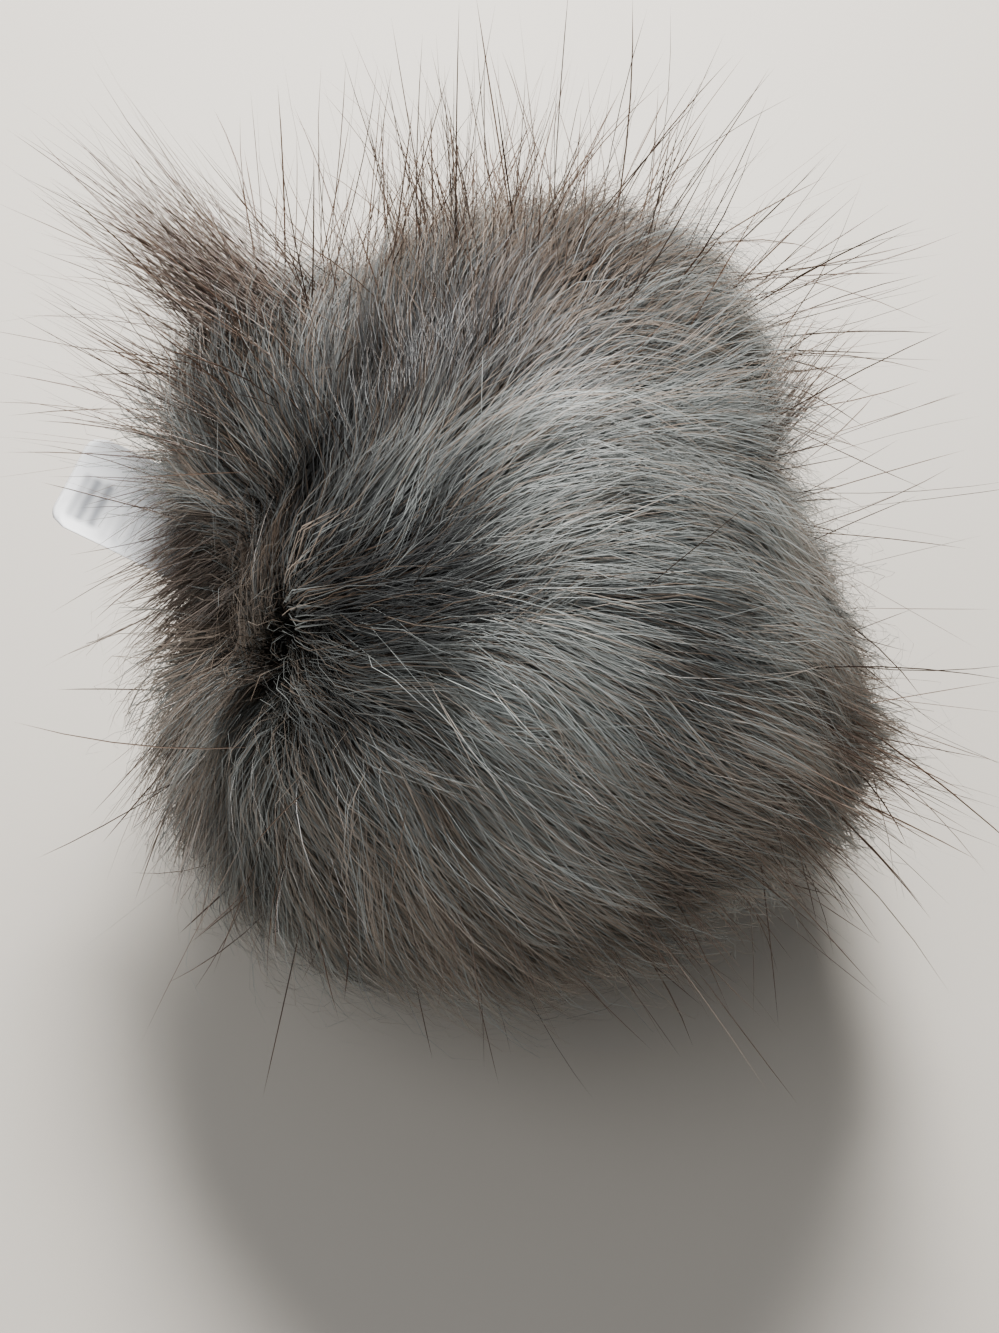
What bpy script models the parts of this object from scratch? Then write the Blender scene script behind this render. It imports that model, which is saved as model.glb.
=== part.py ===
"""A stuffed faux-fur pom pom, gathered shut on one side, with a folded satin label sewn in beside the gather.

Metres, +Z up. +X is the right and -Y the front. The origin is under the middle of the whole object, on the
surface that it rests on. The ball is one filled solid that reaches as far as its pile does. The label is a
thin sheet that starts where it comes out of the pile.
"""

import math
from collections import namedtuple

import bmesh
import bpy
from mathutils import Vector

# The ball, measured to the reach of its pile.
BALL_WIDTH = 0.138
BALL_DEPTH = 0.150
BALL_HEIGHT = 0.126
FLAT_SPOT_SINK = 0.005  # how far its own weight presses the ball flat on the surface below

# The gather, where the cut cloth is drawn together and stitched shut.
GATHER_AZIMUTH = 200.0
GATHER_ELEVATION = 35.0
GATHER_SINK = 0.017
GATHER_SPREAD = 19.0  # degrees
GATHER_STRETCH = 0.35  # how much longer the drawn-in hollow is up and down than side to side
CLOSURE_RADIUS = 0.0055  # of the flat stitched closure at the bottom of the hollow
FOLD_PEAK = 30.0  # degrees from the gather at which its folds are deepest
FOLD_REACH = 20.0  # degrees over which they fade

# The label, a satin ribbon folded once at its outer end.
LABEL_WIDTH = 0.0168
LABEL_LENGTH = 0.0190  # from the ball's side to the label's outer end, along its middle
LABEL_THICKNESS = 0.0012  # both plies
LABEL_CORNER = 0.0030
LABEL_ROOT_AZIMUTH = 170.0
LABEL_ROOT_ELEVATION = 12.0
LABEL_AIM_AZIMUTH = 158.0
LABEL_AIM_ELEVATION = 16.0
LABEL_ACROSS = Vector((-0.47, -0.78, -0.41))  # roughly along the label's short edges
LABEL_CURL = 0.0025
LABEL_CUP = 0.0015
LABEL_GAP = 0.0013  # between the ball and the label's middle layer

# Fineness of the meshes.
RINGS = 42
SPOKES = 72
FIRST_RING = 1.6  # radius of the first ring outside the closure, in closure radii
LABEL_STEPS = 10
MARCH_STEP = 0.0001
SNAP_TO_FLOOR = 0.0004
SHARP_ANGLE = math.radians(50.0)

FUR_COLOUR = (0.125, 0.122, 0.120, 1.0)
FUR_ROUGHNESS = 0.75
SATIN_COLOUR = (0.82, 0.83, 0.85, 1.0)
SATIN_ROUGHNESS = 0.45

# Swellings (+) and drawn-in places (-) of the ball: where they point, in degrees round and up from +X, how
# far they stand out of the plain oval, in metres, and how wide they spread, in degrees.
Lobe = namedtuple("Lobe", "name azimuth elevation reach spread")
LOBES = (
    Lobe("back left corner", 145.0, 18.0, 0.0110, 21.0),
    Lobe("back valley", 112.0, 25.0, -0.0050, 13.0),
    Lobe("back right corner", 63.0, 24.0, 0.0095, 21.0),
    Lobe("right waist", 24.0, 14.0, -0.0135, 26.0),
    Lobe("front right corner", 334.0, -8.0, 0.0095, 19.0),
    Lobe("front dip", 300.0, -24.0, -0.0075, 19.0),
    Lobe("front swelling", 247.0, -22.0, 0.0045, 20.0),
    Lobe("front left corner", 218.0, -14.0, 0.0050, 18.0),
    Lobe("label notch", 172.0, 4.0, -0.0135, 15.0),
    Lobe("crown", 20.0, 72.0, 0.0025, 30.0),
    Lobe("back cheek", 80.0, -20.0, 0.0030, 28.0),
    Lobe("right cheek", 5.0, -35.0, 0.0035, 26.0),
)

# Folds that run out of the gather: their turn round its axis from its right side, in degrees, their depth
# in metres and their width in degrees.
Fold = namedtuple("Fold", "name turn depth width")
FOLDS = (
    Fold("front parting", 4.0, 0.0020, 11.0),
    Fold("crown crease", 36.0, 0.0026, 13.0),
    Fold("back valley", 74.0, 0.0050, 15.0),
    Fold("shoulder crease", 124.0, 0.0030, 14.0),
    Fold("label fold", 176.0, 0.0046, 15.0),
    Fold("under fold", 246.0, 0.0045, 18.0),
    Fold("lower crease", 318.0, 0.0028, 14.0),
)


def pointing(azimuth, elevation):
    """The unit vector that points this way, in degrees round from +X and up from the level."""
    turned, raised = math.radians(azimuth), math.radians(elevation)
    level = math.cos(raised)
    return Vector((math.cos(turned) * level, math.sin(turned) * level, math.sin(raised)))


def bell(angle, spread):
    """1 at no angle, falling smoothly away over the spread."""
    return math.exp(-((angle / spread) ** 2))


CENTRE = Vector((0.0, 0.0, BALL_HEIGHT / 2 - FLAT_SPOT_SINK))
GATHER_AXIS = pointing(GATHER_AZIMUTH, GATHER_ELEVATION)
GATHER_RIGHT = (Vector((1.0, 0.0, 0.0)) - GATHER_AXIS.x * GATHER_AXIS).normalized()
GATHER_UP = GATHER_AXIS.cross(GATHER_RIGHT)


def spoke_way(turn):
    """The unit vector square to the gather's axis at this turn round it, in radians."""
    return math.cos(turn) * GATHER_RIGHT + math.sin(turn) * GATHER_UP


def fold_depth(from_gather, turn):
    """How deep the gather's folds are, this many degrees from its middle and this turn round it."""
    deep = 0.0
    for fold in FOLDS:
        away = (turn - fold.turn + 180.0) % 360.0 - 180.0
        deep += fold.depth * bell(away, fold.width)
    return deep * bell(from_gather - FOLD_PEAK, FOLD_REACH)


def pile_reach(way):
    """The distance from the ball's centre to the end of its pile, along a unit vector."""
    oval = 1.0 / math.hypot(2 * way.x / BALL_WIDTH, 2 * way.y / BALL_DEPTH, 2 * way.z / BALL_HEIGHT)
    swelling = 0.0
    for lobe in LOBES:
        from_lobe = math.degrees(way.angle(pointing(lobe.azimuth, lobe.elevation)))
        swelling += lobe.reach * bell(from_lobe, lobe.spread)
    from_gather = math.degrees(way.angle(GATHER_AXIS))
    turn = math.atan2(way.dot(GATHER_UP), way.dot(GATHER_RIGHT))
    hollow_spread = GATHER_SPREAD * (1.0 + GATHER_STRETCH * math.sin(turn) ** 2)
    hollow = GATHER_SINK * bell(from_gather, hollow_spread)
    return oval + swelling - hollow - fold_depth(from_gather, math.degrees(turn))


def plain_material(name, colour, roughness):
    """A Principled material of one colour."""
    material = bpy.data.materials.new(name)
    material.use_nodes = True
    shader = material.node_tree.nodes["Principled BSDF"]
    shader.inputs["Base Color"].default_value = colour
    shader.inputs["Roughness"].default_value = roughness
    shader.inputs["Metallic"].default_value = 0.0
    material.diffuse_color = colour
    return material


def finished_object(name, shape, material):
    """A named object made of a bmesh, shaded smooth."""
    bmesh.ops.recalc_face_normals(shape, faces=shape.faces)
    mesh = bpy.data.meshes.new(name)
    shape.to_mesh(mesh)
    shape.free()
    mesh.shade_smooth()
    mesh.set_sharp_from_angle(angle=SHARP_ANGLE)
    mesh.materials.append(material)
    made = bpy.data.objects.new(name, mesh)
    bpy.context.scene.collection.objects.link(made)
    return made


def closure_ring():
    """The rim of the flat stitched closure, at the bottom of the gather's hollow."""
    middle = pile_reach(GATHER_AXIS) * GATHER_AXIS
    return [middle + CLOSURE_RADIUS * spoke_way(2 * math.pi * spoke / SPOKES) for spoke in range(SPOKES)]


def pile_ring(from_gather):
    """One ring of the ball round the gather's axis, this many radians away from it."""
    ring = []
    for spoke in range(SPOKES):
        sideways = spoke_way(2 * math.pi * spoke / SPOKES)
        way = math.cos(from_gather) * GATHER_AXIS + math.sin(from_gather) * sideways
        ring.append(pile_reach(way) * way)
    return ring


def fur_ball():
    """The ball, in rings round the gather's axis from the closure to the far side, pressed flat below."""
    first = math.atan(FIRST_RING * CLOSURE_RADIUS / pile_reach(GATHER_AXIS))
    places = [closure_ring()]
    for step in range(RINGS):
        places.append(pile_ring(first + (math.pi - first) * step / RINGS))
    shape = bmesh.new()
    rings = [[shape.verts.new(CENTRE + place) for place in ring] for ring in places]
    far_side = shape.verts.new(CENTRE - pile_reach(-GATHER_AXIS) * GATHER_AXIS)
    shape.faces.new(rings[0])
    for spoke in range(SPOKES):
        after = (spoke + 1) % SPOKES
        for inner, outer in zip(rings, rings[1:]):
            shape.faces.new((inner[spoke], outer[spoke], outer[after], inner[after]))
        shape.faces.new((rings[-1][spoke], far_side, rings[-1][after]))
    press_flat(shape)
    return finished_object("fur_ball", shape, plain_material("grey fur", FUR_COLOUR, FUR_ROUGHNESS))


def press_flat(shape):
    """Cuts off what would be below the surface that the ball rests on, and closes it with one flat face."""
    cut = bmesh.ops.bisect_plane(
        shape,
        geom=shape.verts[:] + shape.edges[:] + shape.faces[:],
        dist=SNAP_TO_FLOOR,
        plane_co=(0.0, 0.0, 0.0),
        plane_no=(0.0, 0.0, -1.0),
        clear_outer=True,
    )
    rim = [piece for piece in cut["geom_cut"] if isinstance(piece, bmesh.types.BMEdge)]
    bmesh.ops.contextual_create(shape, geom=rim)
    for edge in rim:
        for corner in edge.verts:
            corner.co.z = 0.0


def clear_of_ball(place):
    """How far a point is outside the ball, along the line from the ball's centre."""
    outward = place - CENTRE
    return outward.length - pile_reach(outward.normalized())


def label_axes():
    """The label's root on the ball's side, and its length, width and face directions."""
    root_way = pointing(LABEL_ROOT_AZIMUTH, LABEL_ROOT_ELEVATION)
    outward = pointing(LABEL_AIM_AZIMUTH, LABEL_AIM_ELEVATION)
    across = (LABEL_ACROSS - LABEL_ACROSS.dot(outward) * outward).normalized()
    return CENTRE + pile_reach(root_way) * root_way, outward, across, across.cross(outward)


def label_point(along, offset):
    """A point of the label's middle layer, which curls along its length and cups a little across it."""
    root, outward, across, face = label_axes()
    curl = LABEL_CURL * (along / LABEL_LENGTH) ** 2
    cup = LABEL_CUP * (2 * offset / LABEL_WIDTH) ** 2
    return root + along * outward + offset * across + (curl - cup) * face


def satin_label():
    """The folded ribbon, a thin sheet with round outer corners whose inner edge follows the ball's side."""
    shape = bmesh.new()
    rows = []
    for side in range(LABEL_STEPS + 1):
        offset = (side / LABEL_STEPS - 0.5) * LABEL_WIDTH
        into_corner = max(0.0, abs(offset) - LABEL_WIDTH / 2 + LABEL_CORNER)
        tip = LABEL_LENGTH - LABEL_CORNER + math.sqrt(LABEL_CORNER**2 - into_corner**2)
        start = tip
        while clear_of_ball(label_point(start, offset)) > LABEL_GAP:
            start -= MARCH_STEP
        steps = [start + (tip - start) * step / LABEL_STEPS for step in range(LABEL_STEPS + 1)]
        rows.append([shape.verts.new(label_point(along, offset)) for along in steps])
    for near, far in zip(rows, rows[1:]):
        for step in range(LABEL_STEPS):
            shape.faces.new((near[step], near[step + 1], far[step + 1], far[step]))
    satin = plain_material("white satin", SATIN_COLOUR, SATIN_ROUGHNESS)
    label = finished_object("satin_label", shape, satin)
    plies = label.modifiers.new("two plies", "SOLIDIFY")
    plies.thickness = LABEL_THICKNESS
    plies.offset = 0.0
    return label


def stand_on_origin(pieces):
    """Moves the pieces together, so that the origin is under the middle of their box."""
    bpy.context.view_layer.update()
    depsgraph = bpy.context.evaluated_depsgraph_get()
    corners = []
    for piece in pieces:
        solid = piece.evaluated_get(depsgraph)
        corners += [solid.matrix_world @ vertex.co for vertex in solid.data.vertices]
    middle_x = (min(corner.x for corner in corners) + max(corner.x for corner in corners)) / 2
    middle_y = (min(corner.y for corner in corners) + max(corner.y for corner in corners)) / 2
    for piece in pieces:
        piece.location -= Vector((middle_x, middle_y, 0.0))


for leftover in list(bpy.data.objects):
    bpy.data.objects.remove(leftover)
stand_on_origin([fur_ball(), satin_label()])
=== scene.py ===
"""The looks of a stuffed faux-fur pom pom with a folded satin label, built on its solid.

Metres, +Z up, +X to the right and -Y the front. The ball's solid reaches as far as the haze of the pile, so
the backing cloth is found by going in from it. The pile is combed over that cloth by a table of strokes,
drawn into locks, and given its tone by a table of tones that also paints shade and highlight into it.
"""

import math
from collections import namedtuple

import bmesh
import bpy
import numpy as np
from bpy.props import FloatProperty, FloatVectorProperty, IntProperty, PointerProperty
from bpy.types import Operator, Panel, PropertyGroup
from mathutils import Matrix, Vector
from mathutils.bvhtree import BVHTree
from mathutils.kdtree import KDTree


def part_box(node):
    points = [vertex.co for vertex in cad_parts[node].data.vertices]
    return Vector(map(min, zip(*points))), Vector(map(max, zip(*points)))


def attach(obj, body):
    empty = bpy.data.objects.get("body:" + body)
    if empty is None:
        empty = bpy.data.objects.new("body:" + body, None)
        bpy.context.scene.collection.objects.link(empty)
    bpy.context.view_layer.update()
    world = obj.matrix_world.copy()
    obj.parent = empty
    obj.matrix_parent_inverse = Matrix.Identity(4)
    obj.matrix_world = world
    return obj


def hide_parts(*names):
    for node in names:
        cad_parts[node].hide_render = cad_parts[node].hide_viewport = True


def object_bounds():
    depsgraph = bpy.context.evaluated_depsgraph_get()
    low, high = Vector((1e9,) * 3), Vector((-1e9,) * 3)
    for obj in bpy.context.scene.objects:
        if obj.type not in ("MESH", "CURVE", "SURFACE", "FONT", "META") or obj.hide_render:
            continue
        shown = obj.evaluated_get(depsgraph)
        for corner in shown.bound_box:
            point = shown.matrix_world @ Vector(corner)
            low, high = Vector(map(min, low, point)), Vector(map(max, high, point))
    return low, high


bl_info = {
    "name": "Faux-fur pom pom",
    "version": (1, 0, 0),
    "blender": (4, 5, 0),
    "location": "3D View > Sidebar > Pom pom",
    "description": "Dresses the solid of a stuffed pom pom with cloth, pile, guard hairs and a label",
    "category": "Object",
}

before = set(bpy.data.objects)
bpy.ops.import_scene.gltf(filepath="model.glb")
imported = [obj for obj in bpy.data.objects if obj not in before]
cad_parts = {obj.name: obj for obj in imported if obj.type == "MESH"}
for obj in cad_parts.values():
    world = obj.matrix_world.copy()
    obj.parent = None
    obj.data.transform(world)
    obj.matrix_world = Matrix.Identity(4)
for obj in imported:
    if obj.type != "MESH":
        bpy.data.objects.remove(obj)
SOLID_BOX = [[float(value) for value in corner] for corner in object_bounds()]

# How far pieces may stand out of the solid's box, and how much of that is used.
BOX_SHARE = 0.03
BOX_SPARE = 0.010
BOX_KEPT = 0.94


def pointing(azimuth, elevation):
    """The unit vector that points this way, in degrees round from +X and up from the level."""
    turned, raised = math.radians(azimuth), math.radians(elevation)
    level = math.cos(raised)
    return np.array((math.cos(turned) * level, math.sin(turned) * level, math.sin(raised)))


BALL_LOW, BALL_HIGH = (np.array(corner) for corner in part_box("fur_ball"))
CENTRE = (BALL_LOW + BALL_HIGH) / 2


# Small tools for arrays of points, which have x, y and z in their last column.


def unit(vectors):
    """The vectors at length 1."""
    return vectors / np.maximum(np.linalg.norm(vectors, axis=-1, keepdims=True), 1e-12)


def square_to(vectors, ways):
    """The part of each vector that is square to its way, at length 1."""
    along = (vectors * ways).sum(-1, keepdims=True)
    return unit(vectors - along * ways)


def smooth_step(low, high, values):
    """0 below low, 1 above high and smooth between them."""
    share = np.clip((values - low) / (high - low), 0.0, 1.0)
    return share * share * (3 - 2 * share)


def bell(distance, spread):
    """1 at no distance, falling smoothly away over the spread."""
    return np.exp(-((distance / spread) ** 2))


def degrees_from(azimuth, elevation, ways):
    """How far each way turns from the one that points to this azimuth and elevation."""
    return np.degrees(np.arccos(np.clip(ways @ pointing(azimuth, elevation), -1.0, 1.0)))


def turned(ways, axes, angles):
    """The ways, which are square to their axes, turned round them by a column of angles in radians."""
    return np.cos(angles) * ways + np.sin(angles) * np.cross(axes, ways)


def uneven(places, wavelength, seed, waves=16):
    """A smooth uneven field, mostly from -1 to 1, whose bumps are about a wavelength apart."""
    draw = np.random.default_rng(seed)
    ways = unit(draw.normal(size=(waves, 3))) * draw.uniform(0.6, 1.5, (waves, 1)) * 2 * math.pi / wavelength
    return np.sin(places @ ways.T + draw.uniform(0, 2 * math.pi, waves)).sum(-1) / math.sqrt(1.6 * waves)


# Materials.


class Value:
    """A node's output socket, on which Python's arithmetic adds Math nodes."""

    def __init__(self, tree, socket):
        self.tree = tree
        self.socket = socket

    def math(self, operation, *others):
        return self.tree.add("ShaderNodeMath", {"operation": operation}, dict(enumerate((self, *others))))

    def __add__(self, other):
        return self.math("ADD", other)

    def __rsub__(self, other):
        return self.math("MULTIPLY_ADD", -1.0, other)

    def __mul__(self, other):
        return self.math("MULTIPLY", other)


class Finish:
    """A new Principled material and the methods that add nodes to it."""

    def __init__(self, name, **constants):
        self.material = bpy.data.materials.new(name)
        self.material.use_nodes = True
        self.nodes = self.material.node_tree.nodes
        self.links = self.material.node_tree.links
        self.shader = self.nodes["Principled BSDF"]
        for socket, constant in constants.items():
            self.shader.inputs[socket.replace("_", " ")].default_value = constant

    def add(self, kind, settings=None, inputs=None, output=0):
        """Adds a node with its settings and the values or links of its sockets, and gives one output."""
        node = self.nodes.new(kind)
        for name, setting in (settings or {}).items():
            if name == "stops":
                self.set_stops(node.color_ramp, setting)
            else:
                setattr(node, name, setting)
        for name, given in (inputs or {}).items():
            if isinstance(given, Value):
                self.links.new(given.socket, node.inputs[name])
            else:
                node.inputs[name].default_value = given
        return Value(self, node.outputs[output])

    def set_stops(self, ramp, stops):
        while len(ramp.elements) < len(stops):
            ramp.elements.new(1.0)
        for element, (place, colour) in zip(ramp.elements, stops):
            element.position = place
            element.color = (*colour, 1.0)

    def ramp(self, value, stops):
        """A colour read from stops at places from 0 to 1."""
        return self.add("ShaderNodeValToRGB", {"stops": stops}, {"Fac": value})

    def mix(self, share, first, second, way="MIX"):
        """Two colours mixed or multiplied."""
        settings = {"data_type": "RGBA", "blend_type": way}
        return self.add("ShaderNodeMix", settings, {0: share, 6: first, 7: second}, 2)

    def on_map(self):
        """The place on the bake map, and how far it is across and up."""
        place = self.add("ShaderNodeUVMap", {"uv_map": "OFBake"})
        return place, *(self.add("ShaderNodeSeparateXYZ", {}, {0: place}, axis) for axis in (0, 1))

    def feed(self, socket, value):
        self.links.new(value.socket, self.shader.inputs[socket])


def hair_finish(name, tones, lengthwise, roughness, gloss=0.5):
    """Hair whose map holds its tone across and the way to its tip up; their colours are multiplied."""
    finish = Finish(name, Roughness=roughness, Specular_IOR_Level=gloss, IOR=1.5)
    _, across, up = finish.on_map()
    tone, along = finish.ramp(across, tones), finish.ramp(up, lengthwise)
    finish.feed("Base Color", finish.mix(1.0, tone, along, "MULTIPLY"))
    return finish.material


# Making meshes.


def mesh_object(name, corners, faces, material):
    """An object made of arrays: corners, and a list of arrays of faces with equally many corners each."""
    mesh = bpy.data.meshes.new(name)
    loops = np.concatenate([group.ravel() for group in faces])
    sizes = np.concatenate([np.full(len(group), group.shape[1]) for group in faces])
    mesh.vertices.add(len(corners))
    mesh.vertices.foreach_set("co", corners.astype(np.float32).ravel())
    mesh.loops.add(len(loops))
    mesh.loops.foreach_set("vertex_index", loops.astype(np.int32))
    mesh.polygons.add(len(sizes))
    mesh.polygons.foreach_set("loop_start", (np.cumsum(sizes) - sizes).astype(np.int32))
    mesh.update(calc_edges=True)
    mesh.materials.append(material)
    made = bpy.data.objects.new(name, mesh)
    bpy.context.scene.collection.objects.link(made)
    return made


def lay_map(made, across, up):
    """Gives the object its bake map, from each corner's place across and up."""
    corners = np.empty(len(made.data.loops), np.int32)
    made.data.loops.foreach_get("vertex_index", corners)
    places = np.stack([across, up], -1)[corners]
    made.data.uv_layers.new(name="OFBake").data.foreach_set("uv", places.astype(np.float32).ravel())


ROUNDING = math.radians(50.0)  # how far the shading of a flat hair turns away at its sides
TONE_WIDTH = 0.006  # half the strip of the bake map that a hair takes, around its tone
MAP_EDGE = 0.01  # kept free at the map's lower and upper edge


def hair_object(name, paths, facing, widths, tones, material, softness):
    """Joins flat tapered hairs into one object. They are shaded as round hairs, evened out by the softness.

    paths: hairs x points x 3; facing: a way for each hair's flat side; widths: hairs x points; tones: one
    for each hair.
    """
    hairs, points = paths.shape[:2]
    along = unit(np.gradient(paths, axis=1))
    face = square_to(np.broadcast_to(facing[:, None], paths.shape), along)
    side = np.cross(along, face)
    half = widths[..., None] / 2 * side
    corners = np.empty((hairs, 2 * points - 1, 3))
    normals = np.empty_like(corners)
    corners[:, 0:-1:2] = (paths - half)[:, :-1]
    corners[:, 1::2] = (paths + half)[:, :-1]
    corners[:, -1] = paths[:, -1]
    normals[:, 0:-1:2] = (math.cos(ROUNDING) * face - math.sin(ROUNDING) * side)[:, :-1]
    normals[:, 1::2] = (math.cos(ROUNDING) * face + math.sin(ROUNDING) * side)[:, :-1]
    normals[:, -1] = face[:, -1]
    rung = 2 * np.arange(points - 2)[:, None]
    quads = rung + np.array([0, 1, 3, 2])
    tip = np.array([[2 * points - 4, 2 * points - 3, 2 * points - 2]])
    first = (2 * points - 1) * np.arange(hairs)[:, None, None]
    faces = [(first + quads).reshape(-1, 4), (first + tip).reshape(-1, 3)]
    made = mesh_object(name, corners.reshape(-1, 3), faces, material)
    step = np.repeat(np.arange(points), 2)[: 2 * points - 1] / (points - 1)
    edge = np.tile([-1.0, 1.0], points)[: 2 * points - 1]
    edge[-1] = 0.0
    across = np.clip(tones, 2 * TONE_WIDTH, 1 - 2 * TONE_WIDTH)[:, None] + TONE_WIDTH * edge
    up = MAP_EDGE + (1 - 2 * MAP_EDGE) * step
    lay_map(made, across.ravel(), np.broadcast_to(up, across.shape).ravel())
    smooth = np.repeat(unit(paths - CENTRE), 2, axis=1)[:, : 2 * points - 1]
    normals = unit(normals) * (1 - softness) + smooth * softness
    made.data.normals_split_custom_set_from_vertices(unit(normals).reshape(-1, 3).tolist())
    return made


def finished(made, slot, *nodes):
    """Lets a piece ride on the one body and hides the solids that it stands for. The slot is not used."""
    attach(made, "root")
    if nodes:
        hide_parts(*nodes)
    return made


def table(fields, *rows):
    """The rows, with a name for each value."""
    Row = namedtuple("Row", fields)
    return [Row(*row) for row in rows]


def length_property(name, description, default):
    """A length in metres that a user may change."""
    return FloatProperty(name=name, description=description, default=default, unit="LENGTH")


# Backing cloth: the surface that the pile grows from.

GATHER = (200.0, 35.0)  # azimuth and elevation of its middle, in degrees
GATHER_SPREAD = 20.0  # degrees

# Where the cloth is drawn in (+) or swells (-): the place on the ball and how far round it this reaches, in
# degrees, and the depth in metres.
HOLLOWS = table(
    "name azimuth elevation spread depth",
    ("upper side of the gather", 181, 31, 7, 0.0070),
    ("lower side of the gather", 206, 19, 7, 0.0070),
    ("ridge through the gather", 196, 27, 17, -0.0075),
    ("ridge over the gather", 204, 50, 14, -0.0035),
    ("right", 350, 15, 24, 0.0040),
    ("front right corner", 316, 2, 22, 0.0070),
    ("front, low", 262, -22, 30, 0.0050),
)


class BackingSettings(PropertyGroup):
    pile_depth: length_property("Pile depth", "From the solid down to the cloth", 0.0150)
    gather_depth: length_property("Depth at the gather", "The same at the gather", 0.0100)
    evenness: IntProperty(name="Evenness", description="How often the cloth is smoothed", default=5, min=0)
    fineness: IntProperty(name="Fineness", description="Subdivisions of the cloth", default=6, min=3, max=7)


class Cloth:
    """The backing cloth: a round mesh inside the ball's solid, and a table of it by whole degrees."""

    def __init__(self, settings):
        ways, sides = self.round_mesh(settings.fineness)
        reach = self.solid_reach(ways)
        neighbours = np.bincount(sides.ravel(), minlength=len(ways))
        for _ in range(settings.evenness):
            around = np.zeros(len(ways))
            np.add.at(around, sides[:, 0], reach[sides[:, 1]])
            np.add.at(around, sides[:, 1], reach[sides[:, 0]])
            reach = (reach + around / neighbours) / 2
        near_gather = bell(degrees_from(*GATHER, ways), GATHER_SPREAD)
        self.radius = reach - settings.pile_depth
        self.radius += (settings.pile_depth - settings.gather_depth) * near_gather
        for hollow in HOLLOWS:
            away = degrees_from(hollow.azimuth, hollow.elevation, ways)
            self.radius -= hollow.depth * bell(away, hollow.spread)
        self.corners = CENTRE + self.radius[:, None] * ways
        self.normals, self.areas = self.normals_and_areas()
        self.table = self.nearest_by_degree(ways)

    def round_mesh(self, fineness):
        """Keeps the triangles of a fine round mesh, and gives the ways to its corners and its edges."""
        shape = bmesh.new()
        bmesh.ops.create_icosphere(shape, subdivisions=fineness, radius=1.0)
        ways = unit(np.array([tuple(corner.co) for corner in shape.verts]))
        sides = np.array([[corner.index for corner in edge.verts] for edge in shape.edges])
        self.triangles = np.array([[corner.index for corner in face.verts] for face in shape.faces])
        shape.free()
        return ways, sides

    def normals_and_areas(self):
        """The outward normal at each corner, and twice the area of each triangle."""
        first, second, third = (self.corners[self.triangles[:, index]] for index in range(3))
        flat = np.cross(second - first, third - first)
        normals = np.zeros_like(self.corners)
        for index in range(3):
            np.add.at(normals, self.triangles[:, index], flat)
        return unit(normals), np.linalg.norm(flat, axis=1)

    def nearest_by_degree(self, ways):
        """The corner nearest to each whole degree: a row for each elevation from -90 to 90."""
        tree = KDTree(len(ways))
        for index, way in enumerate(ways):
            tree.insert(Vector(way), index)
        tree.balance()
        nearest = np.empty((181, 360), int)
        for row, column in np.ndindex(nearest.shape):
            nearest[row, column] = tree.find(Vector(pointing(column, row - 90)))[1]
        return nearest

    def solid_reach(self, ways):
        """How far the ball's solid reaches from its centre along each unit vector."""
        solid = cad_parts["fur_ball"].data
        tree = BVHTree.FromPolygons([v.co for v in solid.vertices], [p.vertices for p in solid.polygons])
        start = Vector(CENTRE)
        return np.array([tree.ray_cast(start, Vector(way))[3] for way in ways])

    def at(self, ways):
        """The cloth's distance from the centre, as a column, and its outward normal."""
        turn = np.rint(np.degrees(np.arctan2(ways[:, 1], ways[:, 0]))).astype(int) % 360
        rise = np.rint(np.degrees(np.arcsin(np.clip(ways[:, 2], -1.0, 1.0)))).astype(int) + 90
        nearest = self.table[rise, turn]
        return self.radius[nearest, None], self.normals[nearest]

    def scattered(self, count, draw):
        """Ways to roots spread evenly over the cloth, with fewer under the ball, where nothing shows."""
        under = smooth_step(0.75, 0.95, -self.normals[self.triangles[:, 0], 2])
        chances = self.areas * (1.0 - 0.6 * under)
        chosen = self.triangles[draw.choice(len(self.triangles), count, p=chances / chances.sum())]
        shares = draw.dirichlet((1.0, 1.0, 1.0), count)[..., None]
        return unit((self.corners[chosen] * shares).sum(1) - CENTRE)


def cloth_finish():
    """Short matted undercoat: taupe grey, mottled and rough."""
    finish = Finish("matted undercoat", Roughness=0.95, Sheen_Weight=0.3)
    place = finish.add("ShaderNodeTexCoord", {}, {}, "Object")
    mottle = finish.add("ShaderNodeTexNoise", {}, {"Vector": place, "Scale": 420.0, "Detail": 4.0})
    shades = [(0.3, (0.110, 0.100, 0.090)), (0.7, (0.300, 0.285, 0.270))]
    finish.feed("Base Color", finish.ramp(mottle, shades))
    fuzz = finish.add("ShaderNodeTexNoise", {}, {"Vector": place, "Scale": 1800.0, "Detail": 2.0})
    bump = finish.add("ShaderNodeBump", {}, {"Strength": 0.6, "Distance": 0.001, "Height": fuzz})
    finish.feed("Normal", bump)
    return finish.material


class POMPOM_OT_backing(Operator):
    """Makes the stuffed ball of backing cloth under the pile"""

    bl_idname = "pompom.backing"
    bl_label = "Backing cloth"

    def execute(self, context):
        cloth = Cloth(context.scene.pompom_backing)
        ball = mesh_object("backing_cloth", cloth.corners, [cloth.triangles], cloth_finish())
        finished(ball, "fur", "fur_ball")
        return {"FINISHED"}


# Growing hair: the nap, combed paths, locks and limits.

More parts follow.
